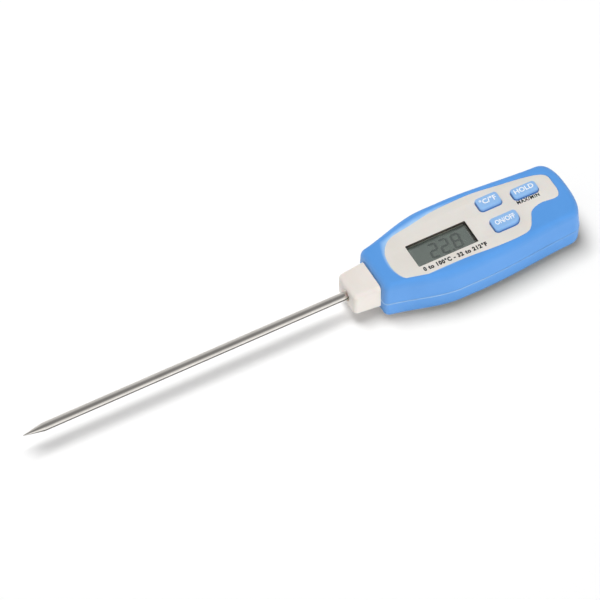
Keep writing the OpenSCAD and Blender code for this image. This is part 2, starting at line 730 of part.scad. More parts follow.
// spring leaf soldered under the board, that presses on the middle of the cell
module cell_contact_negative() color(gold) at_cell() intersection() {
    bent_strip([[-0.81 * cell_d, board_z - contact_t], [-0.55 * cell_d, board_z - contact_t],
                [-0.14 * cell_d, cell_top], [0.1 * cell_d, cell_top],
                [0.22 * cell_d, cell_top + 0.07 * cell_d]]);
    block(0, 0, cell_top, 4 * cell_d, contact_w, board_z - cell_top);
}

// strip that hangs from the board and touches the cell's side
contact_foot = 3.2;
module cell_contact_positive() color(gold) at_cell() {
    block(cell_d / 2 + contact_t / 2, 0, chamber_z + 0.2, contact_t, contact_w, board_z - chamber_z - 0.2);
    block((cell_d + contact_foot) / 2, 0, board_z - contact_t, contact_foot, contact_w, contact_t);
}

module battery_cap() color(blue) at_cell() difference() {
    union() {
        post(0, 0, cap_recess, cap_top, cap_d);
        post(0, 0, cap_recess, lug_z + lug_h, 2 * hub_r);
        for (a = [90, 270]) rotate([0, 0, a]) intersection() {
            post(0, 0, lug_z, lug_z + lug_h, 2 * lug_r);
            sector(lug_span, tower_r, lug_z, lug_z + lug_h);
        }
    }
    post(0, 0, cup_floor, body_h, 2 * cup_r);
    block(0, 0, 0, coin_l, coin_w, cap_recess + coin_t);
}

module battery_cap_seal() color(black) at_cell() translate([0, 0, cap_top + seal_d / 2])
    rotate_extrude() translate([hub_r + 0.1 + seal_d / 2, 0]) circle(d = seal_d);

// ---- screws --------------------------------------------------------------------------------------

module cross_screw(head_z, head_d, head_h, shank_d, shank_l) difference() {
    union() {
        post(0, 0, head_z - head_h, head_z, head_d);
        post(0, 0, head_z - head_h, head_z + shank_l, shank_d);
    }
    for (a = [0, 90]) rotate([0, 0, a])
        block(0, 0, head_z - head_h - past, 0.6 * head_d, 0.16 * head_d, past + 0.5 * head_h);
}

module housing_screws() color(steel) at_grip() at_screws()
    cross_screw(screw_sink + screw_head_h, screw_head_d, screw_head_h, screw_d, screw_l);

module board_screws() color(steel) at_grip() at_board_screws()
    cross_screw(board_z, board_head_d, board_head_h, board_screw_d, board_screw_l);

front_cover();
rear_cover();
face_panel();
probe_collar();
probe_tube();
tip_potting();
thermistor_bead();
thermistor_leads();
display_window();
window_tape();
display_glass();
display_frame();
contact_strips();
circuit_board();
controller_blob();
quartz_crystal();
board_capacitors();
board_resistors();
keypad_mat();
unit_key();
unit_key_skirt();
unit_key_pill();
hold_key();
hold_key_skirt();
hold_key_pill();
power_key();
power_key_skirt();
power_key_pill();
button_cell();
cell_contact_positive();
cell_contact_negative();
battery_cap();
battery_cap_seal();
housing_screws();
board_screws();
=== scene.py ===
"""Looks of a digital stem thermometer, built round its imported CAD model."""

import math

import bmesh
import bpy
import numpy as np
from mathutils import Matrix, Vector


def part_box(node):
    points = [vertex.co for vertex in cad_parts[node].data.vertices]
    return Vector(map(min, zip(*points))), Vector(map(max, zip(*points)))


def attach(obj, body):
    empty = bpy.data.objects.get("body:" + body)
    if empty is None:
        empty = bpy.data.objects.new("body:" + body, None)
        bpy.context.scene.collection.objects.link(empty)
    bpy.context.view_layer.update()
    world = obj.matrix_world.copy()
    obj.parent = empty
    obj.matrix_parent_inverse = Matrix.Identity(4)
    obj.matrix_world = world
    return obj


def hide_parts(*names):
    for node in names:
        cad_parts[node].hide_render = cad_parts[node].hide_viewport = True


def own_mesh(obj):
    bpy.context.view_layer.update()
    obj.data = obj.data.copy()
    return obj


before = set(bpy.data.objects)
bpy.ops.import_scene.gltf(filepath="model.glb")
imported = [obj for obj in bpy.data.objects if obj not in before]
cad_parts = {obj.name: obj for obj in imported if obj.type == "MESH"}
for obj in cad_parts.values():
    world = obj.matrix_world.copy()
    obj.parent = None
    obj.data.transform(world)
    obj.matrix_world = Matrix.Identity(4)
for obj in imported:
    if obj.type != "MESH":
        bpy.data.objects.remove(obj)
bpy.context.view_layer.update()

# ---- front cover ---------------------------------------------------------------------------------
# Upper half of the grip: a thin shell of moulded blue ABS that the white face shows through.
# It sits on the tongue of the rear cover and is held down by the face panel, whose bosses take
# the four screws from the back.

MM = 0.001
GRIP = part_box("front_cover")[0].x / MM
GRIP_L, GRIP_W, TOP, PARTING, FACE = 74.0, 30.4, 16.6, 7.4, 16.3
COLLAR_HALF, WIDEST_HALF, TAIL_HALF, BULGE = 9.25, 15.2, 12.5, 4.4
WIDE_FROM, WIDE_TO = 26.0, 33.0
COLLAR_CORNER, TAIL_ROUND = 1.5, 5.5
FACE_X, FACE_L, FACE_GAP = 6.1, 63.4, 0.06
SIDE_IN, EDGE_IN, EDGE_Z = 0.35, 2.2, 13.6
WALL, TONGUE_IN, TONGUE_TOP, TONGUE_GAP = 1.8, 1.0, 8.6, 0.1
AROUND = 720


def smooth_step(t):
    """Zero up to 0, one from 1, and 3t^2 - 2t^3 between."""
    t = np.clip(t, 0, 1)
    return t * t * (3 - 2 * t)


def half_width(x):
    """Half width of the grip at x mm from its collar end: a blend from there to the widest part,
    with a bulge of 4.4 (t^3 - 2t^2 + t), and a blend from the widest part down to the tail."""
    t = np.clip(x / WIDE_FROM, 0, 1)
    return (COLLAR_HALF + (WIDEST_HALF - COLLAR_HALF) * smooth_step(t)
            + BULGE * (t ** 3 - 2 * t ** 2 + t)
            - (WIDEST_HALF - TAIL_HALF) * smooth_step((x - WIDE_TO) / (GRIP_L - WIDE_TO)))


def closed_line(points):
    """The points with the first again at the end, and the length of the line up to each."""
    closed = np.vstack([points, points[:1]])
    steps = np.linalg.norm(np.diff(closed, axis=0), axis=1)
    return closed, np.concatenate([[0], np.cumsum(steps)])


def resample(points, n, shares=None):
    """n points on a closed line, at equal steps of its length or at those shares of it."""
    closed, arc = closed_line(points)
    at = (np.arange(n) / n if shares is None else shares) * arc[-1]
    return np.stack([np.interp(at, arc, closed[:, k]) for k in range(points.shape[1])], 1)


def share_near(points, marks):
    """Share of a closed line's length at its point nearest to each mark, between 0 and 1, which
    are added."""
    arc = closed_line(points)[1]
    away = np.linalg.norm(points[None] - np.asarray(marks, float)[:, None], axis=2)
    return np.concatenate([[0], arc[np.argmin(away, 1)] / arc[-1], [1]])


def plan_outline():
    """Outline of the grip seen from above, from the middle of its collar end by the far side: the
    half width, less a round corner at the collar end, times a superellipse of power 2.5 at the
    tail."""
    x = GRIP_L / 2 * (1 - np.cos(np.linspace(0, math.pi, 900)))
    end = (1 - np.clip((x - GRIP_L + TAIL_ROUND) / TAIL_ROUND, 0, 1) ** 2.5) ** (1 / 2.5)
    across = np.clip(COLLAR_CORNER ** 2 - (COLLAR_CORNER - x) ** 2, 0, None)
    corner = np.where(x < COLLAR_CORNER, COLLAR_CORNER - np.sqrt(across), 0)
    y = half_width(x) * end - corner
    side = np.stack([x, y], 1)
    up = np.linspace(0, y[0], 60)[:-1]
    first = np.stack([0 * up, up], 1)
    return np.vstack([first, side, side[-2::-1] * [1, -1], first[:0:-1] * [1, -1]])


def face_line():
    """Outline of the white face: a closed Catmull-Rom curve through 25 knots. Beside the covers
    they are a margin in from the grip's sides, and at both ends and at the step they are placed."""
    far_x = FACE_X + FACE_L * np.array([0.085, 0.22, 0.345, 0.47, 0.6, 0.75, 0.865, 0.953])
    far_margin = 3 * np.array([1.33, 1.53, 1.27, 1.1, 0.97, 1.1, 1.2, 1.5])
    near_x = FACE_X + FACE_L * np.array([0.715, 0.56, 0.377, 0.22, 0.11])
    near_margin = 3 * np.array([0.93, 1.17, 1.53, 1.37, 0.77])
    step_x = FACE_X + 0.803 * FACE_L
    knots = np.vstack([
        [[FACE_X, -1.8], [7.3, 4.2]], np.stack([far_x, half_width(far_x) - far_margin], 1),
        [[69.12, 6.38], [69.5, 3.2], [69.31, -1.0]],
        [[step_x + 10.46, -2.9], [step_x + 5, -2.5], [step_x + 0.9, -3.9],
         [step_x - 0.8, -6.6], [step_x - 2.5, -9.4]],
        np.stack([near_x, near_margin - half_width(near_x)], 1), [[9.0, -9.1], [6.9, -6.4]]])
    t = np.linspace(0, 1, 25)[None, :-1, None]
    a, b, c, d = (np.roll(knots, k, 0)[:, None] for k in (1, 0, -1, -2))
    curve = 0.5 * (2 * b + (c - a) * t + (2 * a - 5 * b + 4 * c - d) * t ** 2
                   + (3 * b - a - 3 * c + d) * t ** 3)
    return curve.reshape(-1, 2)


def grown(points, d):
    """The closed line moved out by d along its own normals."""
    tangent = np.roll(points, -1, 0) - np.roll(points, 1, 0)
    tangent /= np.linalg.norm(tangent, axis=1)[:, None]
    normal = np.stack([tangent[:, 1], -tangent[:, 0]], 1)
    x, y = points.T
    area = np.sum(x * np.roll(y, -1) - y * np.roll(x, -1))
    return points + normal * d * np.sign(area)


def inset_plan(plan, d):
    """The grip's outline drawn in by d, by the same shrinking as in the CAD model."""
    return np.stack([GRIP_L / 2 + (plan[:, 0] - GRIP_L / 2) * (1 - 2 * d / GRIP_L),
                     plan[:, 1] * (1 - 2 * d / GRIP_W)], 1)


def at_height(points, z):
    """Plan points lifted to the height z, one number or one for each point."""
    return np.column_stack([points, np.broadcast_to(z, len(points))])


def ring_faces(rings, around, closed=False):
    """Quads between neighbouring rings of around points, and from the last ring to the first."""
    i = np.arange(rings if closed else rings - 1)[:, None]
    j = np.arange(around)[None, :]
    k = (j + 1) % around
    low, high = i * around, (i + 1) % rings * around
    return np.stack([low + j, low + k, high + k, high + j], -1).reshape(-1, 4).tolist()


def linked(name, data):
    """Object of that mesh, curve, light or camera, in the scene."""
    obj = bpy.data.objects.new(name, data)
    bpy.context.scene.collection.objects.link(obj)
    return obj


def add_piece(name, points, faces, sharp=35, values=None):
    """Object of that mesh, given in mm from the collar end of the grip and the back, with outward
    faces, smooth but for edges over the sharp angle, and with the named values as attributes."""
    mesh = bpy.data.meshes.new(name)
    place = (np.asarray(points, float).reshape(-1, 3) + [GRIP, 0, 0]) * MM
    mesh.from_pydata(place.tolist(), [], faces)
    for key, value in (values or {}).items():
        mesh.attributes.new(key, "FLOAT", "POINT").data.foreach_set("value", np.ravel(value))
    work = bmesh.new()
    work.from_mesh(mesh)
    bmesh.ops.recalc_face_normals(work, faces=work.faces)
    work.to_mesh(mesh)
    work.free()
    mesh.shade_smooth()
    mesh.set_sharp_from_angle(angle=math.radians(sharp))
    return linked(name, mesh)


def ring_piece(name, rings, values=None):
    """Piece whose skin runs through those rings of points and from the last back to the first."""
    return add_piece(name, np.stack(rings), ring_faces(len(rings), len(rings[0]), True), 50, values)


def add_node(tree, kind, inputs=None, **settings):
    """A node with those settings, its sockets linked or set."""
    node = tree.nodes.new(kind)
    for key, value in settings.items():
        setattr(node, key, value)
    for key, value in (inputs or {}).items():
        if isinstance(value, bpy.types.NodeSocket):
            tree.links.new(value, node.inputs[key])
        else:
            node.inputs[key].default_value = value
    return node


def object_place(tree):
    """Place on the surface in the object's own coordinates."""
    return add_node(tree, "ShaderNodeTexCoord").outputs["Object"]


def noise(tree, place, scale, detail, roughness=0.5):
    """Cloudy value at that place."""
    return add_node(tree, "ShaderNodeTexNoise", {"Vector": place, "Scale": scale, "Detail": detail,
                                                 "Roughness": roughness}).outputs["Fac"]


def mapped(tree, value, low, high, to_low=0.0, to_high=1.0):
    """The value, with low to high taken to the other range and held within it."""
    return add_node(tree, "ShaderNodeMapRange", {
        "Value": value, "From Min": low, "From Max": high, "To Min": to_low,
        "To Max": to_high}).outputs["Result"]


def blended(tree, factor, first, second):
    """Colour between two, the second where the factor is 1."""
    return add_node(tree, "ShaderNodeMix", {"Factor": factor, "A": first, "B": second},
                    data_type="RGBA").outputs["Result"]


def computed(tree, operation, *values):
    """Result of a Math node on those values."""
    return add_node(tree, "ShaderNodeMath", dict(enumerate(values)), operation=operation).outputs[0]


def surface_group(name, inputs):
    """Shader node group of a surface, with named inputs and a colour, a roughness and a height as
    outputs: its tree, its input node and its output node."""
    tree = bpy.data.node_groups.new(name, "ShaderNodeTree")
    for label, kind, value in inputs:
        socket = tree.interface.new_socket(label, in_out="INPUT", socket_type="NodeSocket" + kind)
        socket.default_value = value
    for label, kind in (("Color", "Color"), ("Roughness", "Float"), ("Height", "Float")):
        tree.interface.new_socket(label, in_out="OUTPUT", socket_type="NodeSocket" + kind)
    return tree, add_node(tree, "NodeGroupInput"), add_node(tree, "NodeGroupOutput")


def moulded_group():
    """Surface of a moulding: a slow mottle between two colours, a fine grain in the height and
    the roughness, and sparse hair scratches that are rougher."""
    tree, given, result = surface_group("Moulded surface", [
        ("Pale", "Color", (1, 1, 1, 1)), ("Deep", "Color", (0.8, 0.8, 0.8, 1)),
        ("Mottle", "Float", 60), ("Grain", "Float", 5000), ("Smooth", "Float", 0.3),
        ("Rough", "Float", 0.5)])
    where = object_place(tree)
    mottle = noise(tree, where, given.outputs["Mottle"], 4.0, 0.6)
    grain = noise(tree, where, given.outputs["Grain"], 2.0)
    colour = blended(tree, mapped(tree, mottle, 0.3, 0.7), given.outputs["Deep"],
                     given.outputs["Pale"])
    turned = add_node(tree, "ShaderNodeMapping", {"Vector": where, "Rotation": (0, 0, 0.5),
                                                  "Scale": (90, 2600, 400)})
    scratch = mapped(tree, noise(tree, turned.outputs["Vector"], 1.0, 1.0), 0.72, 0.8)
    rough = mapped(tree, grain, 0.3, 0.7, given.outputs["Smooth"], given.outputs["Rough"])
    worn = computed(tree, "MULTIPLY_ADD", scratch, 0.06, rough)
    height = computed(tree, "MULTIPLY_ADD", scratch, -0.4, grain)
    for key, value in (("Color", colour), ("Roughness", worn), ("Height", height)):
        tree.links.new(value, result.inputs[key])
    return tree


moulded = moulded_group()


def srgb(r, g, b):
    """Linear colour of three 8-bit screen values."""
    c = np.array([r, g, b]) / 255
    return (*np.where(c <= 0.04045, c / 12.92, ((c + 0.055) / 1.055) ** 2.4).tolist(), 1.0)


def new_material(name, **sockets):
    """Material with one Principled shader, its tree and the shader."""
    material = bpy.data.materials.new(name)
    material.use_nodes = True
    tree = material.node_tree
    shader = tree.nodes["Principled BSDF"]
    for key, value in sockets.items():
        shader.inputs[key.replace("_", " ")].default_value = value
    return material, tree, shader


def surface_material(name, group, values, bump, depth, **sockets):
    """Material whose shader takes its colour, roughness and relief from a surface group, placed
    with its own values: the material, its tree, the shader and the group's node."""
    material, tree, shader = new_material(name, **sockets)
    surface = add_node(tree, "ShaderNodeGroup", values, node_tree=group)
    relief = add_node(tree, "ShaderNodeBump", {"Height": surface.outputs["Height"],
                                               "Strength": bump, "Distance": depth})
    tree.links.new(surface.outputs["Color"], shader.inputs["Base Color"])
    tree.links.new(surface.outputs["Roughness"], shader.inputs["Roughness"])
    tree.links.new(relief.outputs["Normal"], shader.inputs["Normal"])
    return material, tree, shader, surface


def moulded_material(name, pale, deep, mottle=60, grain=5000, smooth=0.3, rough=0.45, bump=0.06,
                     **sockets):
    """Material of a moulding between two 8-bit screen colours."""
    values = {"Pale": srgb(*pale), "Deep": srgb(*deep), "Mottle": mottle, "Grain": grain,
              "Smooth": smooth, "Rough": rough}
    return surface_material(name, moulded, values, bump, 0.00005, **sockets)


# The opening is the face's outline with a gap. Its points are shared out by pairs of marks, so
# that each lies straight across the top from its point of the grip's outline.
plan = resample(plan_outline(), AROUND)
plan_marks = [(0, 7.5), (10, 11.6), (33, 15.2), (62, 13.2), (70.5, 10.5), (74, 2), (71.5, -10),
              (66, -12.5), (60, -13.2), (56, -13.6), (50, -14.2), (33, -15.2), (10, -11.6),
              (0, -7.5)]
face = face_line()
left_tip = [6.2, 0.2]
face = np.roll(face, -int(np.argmin(np.linalg.norm(face - left_tip, axis=1))), 0)
face_marks = [(7.4, 4.5), (11, 8.1), (33, 11.7), (62, 9.5), (68.6, 7), (69.5, 2), (68.8, -2.2),
              (64, -2.5), (58, -3.8), (55, -8.6), (50.5, -11.3), (33, -10.6), (11, -10.2),
              (7.2, -6.8)]
opening = resample(grown(face, FACE_GAP), AROUND, np.interp(
    np.arange(AROUND) / AROUND, share_near(plan, plan_marks), share_near(face, face_marks)))

# Round the left end of the opening the cover thins out: far_lip and near_lip say how much on
# its far and near side. There an attribute paints the blue paler: a painted highlight of the lip.
LIP, NEAR_LIP, FAR_LIP, SINK = 0.5, 0.3, 3.0, 0.27
far_side = smooth_step((opening[:, 1] + 6) / 6)
far_lip = smooth_step((40 - opening[:, 0]) / 14) * far_side
near_lip = smooth_step((34 - opening[:, 0]) / 14) * (1 - far_side)
past_tip = 0.15 + 0.85 * smooth_step((opening[:, 0] - 6) / 6)
rim = inset_plan(plan, SIDE_IN + EDGE_IN)
gap = opening - rim
reach = np.linalg.norm(gap, axis=1)
lip = np.minimum(LIP + NEAR_LIP * near_lip + FAR_LIP * far_lip * past_tip, 0.9 * reach)
turn = np.radians(np.linspace(0, 90, 17))[1:]
rings = [at_height(inset_plan(plan, d), z) for d, z in
         [(0.3, PARTING), (0.18, PARTING + 0.03), (0.1, PARTING + 0.12)]
         + [(0.08 + (SIDE_IN - 0.08) * (z - PARTING) / (EDGE_Z - PARTING), z)
            for z in np.linspace(PARTING + 0.5, EDGE_Z, 8)]
         + [(SIDE_IN + EDGE_IN * (1 - math.cos(a)), EDGE_Z + (TOP - EDGE_Z) * math.sin(a))
            for a in turn]]
rings += [at_height(rim + gap * (share * (1 - lip / reach))[:, None], TOP)
          for share in (0.25, 0.5, 0.75)]
painted_highlight = [np.zeros(AROUND)] * len(rings)
for share in np.linspace(0, 1, 9):
    rings.append(at_height(opening - gap * ((1 - share) * lip / reach)[:, None],
                           TOP - SINK * share ** 2))
    painted_highlight.append(far_lip * share + near_lip * share ** 1.5)
for z in (16.2, 15.9, 14.9):
    rings.append(at_height(opening, z))
    painted_highlight.append(far_lip + near_lip)
for d, z in ((WALL + 0.1, 14.8), (WALL, 14.6), (WALL, TONGUE_TOP + TONGUE_GAP),
             (TONGUE_IN - TONGUE_GAP, TONGUE_TOP + TONGUE_GAP), (TONGUE_IN - TONGUE_GAP, PARTING)):
    rings.append(at_height(inset_plan(plan, d), z))
    painted_highlight.append(np.zeros(AROUND))
cover = ring_piece("front_shell", rings, {"painted_highlight": np.stack(painted_highlight)})

blue, blue_tree, blue_shader, blue_surface = moulded_material(
    "blue_abs", (94, 158, 229), (86, 151, 222), mottle=45, smooth=0.42, rough=0.52,
    Coat_Weight=0.04, Coat_Roughness=0.35)
# Painted highlight: where the attribute says, the blue is mixed unevenly towards pale blue.
highlight_share = add_node(blue_tree, "ShaderNodeAttribute", attribute_name="painted_highlight").outputs["Fac"]
cloud = noise(blue_tree, object_place(blue_tree), 300.0, 3.0)
uneven = mapped(blue_tree, cloud, 0.3, 0.7, 0.65, 0.95)
highlighted = blended(blue_tree, computed(blue_tree, "MULTIPLY", highlight_share, uneven),
                blue_surface.outputs["Color"], srgb(176, 212, 248))
blue_tree.links.new(highlighted, blue_shader.inputs["Base Color"])
cover.data.materials.append(blue)
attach(cover, "housing")
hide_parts("front_cover")
cover.visible_diffuse = False  # keeps the white table under it free of blue

# ---- rear cover ----------------------------------------------------------------------------------
# Lower half of the grip, of the same blue ABS: a tray with a rounded bottom edge, the stepped
# well of the button cell and four sunk holes for the housing screws. Its tongue locates the
# front cover.

CELL_X = 0.689 * GRIP_L
BASE_IN, BASE_Z = 2.4, 2.6
SCREWS, SINK_R = [(x, y) for x in (8.7, 68.4) for y in (-5.6, 5.6)], 2.05
around_cell = np.radians(np.interp(
    np.arange(AROUND) / AROUND, share_near(plan, [(CELL_X, 14), (74, 0), (CELL_X, -14)]),
    [180, 90, 0, -90, -180]))
bearing = np.stack([np.cos(around_cell), np.sin(around_cell)], 1)


def circle_ring(r, z):
    """Ring round the battery's middle with the radius r."""
    return at_height(bearing * r + [CELL_X, 0], z)


def bridged(first, last):
    """Rings between two others, at 0.3, 0.6 and 0.85 of the way."""
    return [first + (last - first) * share for share in (0.3, 0.6, 0.85)]


rings = [at_height(inset_plan(plan, d), z) for d, z in
         [(WALL, WALL), (WALL, TONGUE_TOP), (TONGUE_IN, TONGUE_TOP), (TONGUE_IN, PARTING),
          (0.26, PARTING), (0.13, PARTING - 0.03), (0.04, PARTING - 0.12), (0.0, PARTING - 0.28)]
         + [(SIDE_IN * (PARTING - z) / (PARTING - BASE_Z), z)
            for z in np.linspace(PARTING - 0.5, BASE_Z, 7)]
         + [(SIDE_IN + BASE_IN * (1 - math.cos(a)), BASE_Z * (1 - math.sin(a))) for a in turn]]
# Profile of the well from its mouth up: the door's seat, the two steps and the roof.
well = [(8.95, 0), (8.75, 0.05), (8.67, 0.15), (8.65, 0.3), (8.65, 2.45), (7.15, 2.45),
        (7.15, 3.45), (8.35, 3.45), (8.35, 4.65), (6.1, 4.65), (6.1, 7.6), (10, 7.6), (10, WALL)]
rings += bridged(rings[-1], circle_ring(*well[0]))
rings += [circle_ring(r, z) for r, z in well]
# Painted highlight: the edge at the parting line is painted paler, as where its ledge catches
# the light, more so towards the collar.
parting_highlight = np.zeros((len(rings), AROUND))
parting_highlight[4:8] = np.array([0.5, 1, 1, 0.5])[:, None]
parting_highlight *= 0.45 + 0.55 * smooth_step((52 - plan[:, 0]) / 25)
tray = ring_piece("rear_shell", rings, {"painted_highlight": parting_highlight})


def round_cutter(name, x, y, z0, z1, r):
    """Closed upright cylinder of 64 sides, as a tool for holes."""
    n = 64
    a = np.arange(n) * 2 * math.pi / n
    circle = np.stack([x + r * np.cos(a), y + r * np.sin(a)], 1)
    points = np.vstack([at_height(circle, z0), at_height(circle, z1)])
    return add_piece(name, points,
                     ring_faces(2, n) + [list(range(n))[::-1], list(range(n, 2 * n))])


def evaluated_mesh(obj):
    """New mesh of an object as its modifiers, its fill or its type leave it."""
    graph = bpy.context.evaluated_depsgraph_get()
    return bpy.data.meshes.new_from_object(obj.evaluated_get(graph))


def carve(obj, cutters):
    """Cuts the cutters out of the object's mesh for good and removes them."""
    for tool in cutters:
        cut = obj.modifiers.new("cut", "BOOLEAN")
        cut.operation, cut.solver, cut.object = "DIFFERENCE", "EXACT", tool
    mesh = evaluated_mesh(obj)
    obj.modifiers.clear()
    old, obj.data = obj.data, mesh
    mesh.name = obj.name
    bpy.data.meshes.remove(old)
    for tool in cutters:
        bpy.data.objects.remove(tool)
    mesh.shade_smooth()
    mesh.set_sharp_from_angle(angle=math.radians(35))


carve(tray, [round_cutter("sink", x, y, -1, 2.6, SINK_R) for x, y in SCREWS])
tray.data.materials.clear()
tray.data.materials.append(blue)
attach(tray, "housing")
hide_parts("rear_cover")
tray.visible_diffuse = False

# ---- face panel ----------------------------------------------------------------------------------
# Off-white ABS panel under the front cover that fills its opening. It holds the clear window,
# guides the three keys and carries the bosses for the screws. Legends are pad-printed on it.

# Of each key: its place, its length and width, and the radius of its near corner at the tail.
KEYS = {"unit": (0.635 * GRIP_L, 0.191 * GRIP_W, 0.111 * GRIP_L, 5.2, 1.3),
        "hold": (0.805 * GRIP_L, 0.138 * GRIP_W, 0.124 * GRIP_L, 4.4, 1.3),
        "power": (0.649 * GRIP_L, -0.128 * GRIP_W, 0.132 * GRIP_L, 5.6, 3.0)}
KEY_GAP, KEY_CORNER, PANEL_UNDER = 0.2, 1.1, 14.8
WINDOW_X, WINDOW_Y, WINDOW_L, WINDOW_W = 0.342 * GRIP_L, -0.059 * GRIP_W, 0.301 * GRIP_L, 9.6
WINDOW_CORNER, PRINT = 0.3, 0.02


def soft_rectangle(l, w, r, r2=None, steps=12):
    """Rectangle l by w with corners of radius r, the one at +X and -Y with r2."""
    radii = np.array([r, r, r, r if r2 is None else r2])
    signs = np.array([[1, 1], [-1, 1], [-1, -1], [1, -1]])
    middle = signs * (np.array([l, w]) / 2 - radii[:, None])
    a = np.radians(np.arange(4)[:, None] * 90 + np.linspace(0, 90, steps + 1)[None])
    arc = np.stack([np.cos(a), np.sin(a)], -1) * radii[:, None, None]
    return (middle[:, None] + arc).reshape(-1, 2)


def curve_mesh(name, curve):
    """Mesh of a curve or a text, which is then removed."""
    source = linked(name, curve)
    mesh = evaluated_mesh(source)
    bpy.data.objects.remove(source)
    bpy.data.curves.remove(curve)
    return mesh


def taken_apart(mesh):
    """Points and faces of a mesh, which is then removed."""
    points = np.empty(3 * len(mesh.vertices), np.float32)
    mesh.vertices.foreach_get("co", points)
    faces = [list(p.vertices) for p in mesh.polygons]
    bpy.data.meshes.remove(mesh)
    return points.reshape(-1, 3).astype(float), faces


def flat_plate(name, outlines, z0, z1, bevel):
    """Plate between z0 and z1 inside the first outline and outside the others, with its edges
    rounded by bevel: a filled flat curve, turned into a mesh with its double points merged."""
    curve = bpy.data.curves.new(name, "CURVE")
    curve.dimensions, curve.fill_mode = "2D", "BOTH"
    curve.extrude, curve.bevel_depth, curve.bevel_resolution = (z1 - z0) / 2 - bevel, bevel, 3
    curve.offset = -bevel
    for outline in outlines:
        spline = curve.splines.new("POLY")
        spline.points.add(len(outline) - 1)
        spline.points.foreach_set("co", np.column_stack(
            [outline, np.zeros(len(outline)), np.ones(len(outline))]).ravel())
        spline.use_cyclic_u = True
    mesh = curve_mesh(name, curve)
    work = bmesh.new()
    work.from_mesh(mesh)
    bmesh.ops.remove_doubles(work, verts=work.verts, dist=0.0005)
    work.to_mesh(mesh)
    work.free()
    points, faces = taken_apart(mesh)
    return add_piece(name, points + [0, 0, (z0 + z1) / 2], faces)


holes = [soft_rectangle(WINDOW_L, WINDOW_W, WINDOW_CORNER, steps=4) + [WINDOW_X, WINDOW_Y]]
holes += [soft_rectangle(l + 2 * KEY_GAP, w + 2 * KEY_GAP, 1.5, r + KEY_GAP) + [x, y]
          for x, y, l, w, r in KEYS.values()]
panel = flat_plate("face_plate", [resample(face, 500)] + holes, PANEL_UNDER, FACE, 0.1)
white, *_ = moulded_material("white_abs", (228, 224, 218), (222, 217, 210), mottle=70, smooth=0.3,
                             rough=0.42, Subsurface_Weight=0.1, Subsurface_Scale=0.001)
panel.data.materials.append(white)
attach(panel, "housing")
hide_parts("face_panel")


def add_lettering(name, words, x, y, z, length, height, weight, angle=0.0, spread=1.0):
    """Words in plain upright type, thickened by the weight and spaced by the spread, made into a
    flat mesh, stretched to that length and height about their middle and turned by the angle."""
    curve = bpy.data.curves.new(name, "FONT")
    curve.body, curve.offset, curve.extrude = words, weight, 0.001
    curve.resolution_u, curve.space_character = 3, spread
    points, faces = taken_apart(curve_mesh(name, curve))
    low, high = points.min(0), points.max(0)
    u, v, up = ((points - (low + high) / 2) / (high - low) * [length, height, PRINT]).T
    c, s = math.cos(angle), math.sin(angle)
    turned = np.column_stack([u * c - v * s, u * s + v * c, up])
    return add_piece(name, turned + [x, y, z + PRINT / 2], faces, 30)


ink, *_ = moulded_material("black_ink", (34, 33, 35), (24, 23, 25), mottle=900, grain=9000,
                           smooth=0.4, rough=0.6, bump=0.03)
for name, words, x, y, length, height, weight in (
        ("print_range", "0 to 100°C - 32 to 212°F", 26.6, -8.5, 23.4, 1.9, 0.06),
        ("print_peak", "MAX/MIN", 59.2, 1.0, 8.2, 1.5, 0.04)):
    legend = add_lettering(name, words, x, y, FACE, length, height, weight, -0.02, 1.18)
    legend.data.materials.append(ink)
    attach(legend, "housing")

# ---- window gasket -------------------------------------------------------------------------------
# Black adhesive ring that bonds the clear window under the panel. Its foam lip lines the walls
# of the opening as a dark liner, which is painted shade of the recess.

# Section of the ring: how far outside the opening, and how high.
section = [(0.9, 15.0), (0.9, 15.08), (0.0, 15.08), (-0.01, 15.5), (-0.01, 16.24), (-0.05, 16.27),
           (-0.1, 16.22), (-0.12, 15.45), (-0.03, 15.4), (-0.03, 15.0)]
rings = [at_height(soft_rectangle(WINDOW_L + 2 * out, WINDOW_W + 2 * out,
                                  max(WINDOW_CORNER + out, 0.12), steps=6)
                   + [WINDOW_X, WINDOW_Y], z) for out, z in section]
gasket = add_piece("window_gasket", np.stack(rings), ring_faces(len(rings), len(rings[0]), True))
foam_and_wall_shade, *_ = moulded_material("black_foam_and_wall_shade", (70, 64, 56), (50, 46, 40), mottle=800, grain=3000,
                            smooth=0.6, rough=0.85, bump=0.4)
gasket.data.materials.append(foam_and_wall_shade)
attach(gasket, "housing")
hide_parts("window_tape")

# ---- display -------------------------------------------------------------------------------------
# Clear acrylic window over a reflective liquid crystal cell. The cell is grey-green, with a paler
# edge outside its active area and a dark strip along its right side, painted shadow of the
# window's wall. It shows three figures as dark segments with their own shadow on the reflector
# behind.

glass, glass_tree, glass_shader = new_material(
    "clear_acrylic", Base_Color=(0.93, 0.96, 0.95, 1), Metallic=0.0, IOR=1.49,
    Transmission_Weight=1.0)
smudge = noise(glass_tree, object_place(glass_tree), 220.0, 5.0)
glass_tree.links.new(mapped(glass_tree, smudge, 0.35, 0.75, 0.02, 0.09),
                     glass_shader.inputs["Roughness"])


def paint(node, material):
    """Gives a CAD node's object that material and leaves its mesh alone."""
    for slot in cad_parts[node].material_slots:
        slot.link = "OBJECT"
        slot.material = material


paint("display_window", glass)

crystal, *_ = moulded_material("liquid_crystal", (105, 113, 107), (97, 105, 99), mottle=120,
                               grain=7000, smooth=0.28, rough=0.4, bump=0.02)
paint("display_glass", crystal)

pale, *_ = moulded_material("reflector_edge", (196, 192, 182), (150, 148, 140), mottle=900,
                            smooth=0.3, rough=0.4, bump=0.02)
wall_shadow_film, *_ = moulded_material("painted_wall_shadow", (84, 84, 78), (66, 68, 62), mottle=400,
                           smooth=0.35, rough=0.5, bump=0.02)
CELL_TOP, FILM = 14.2, 0.02


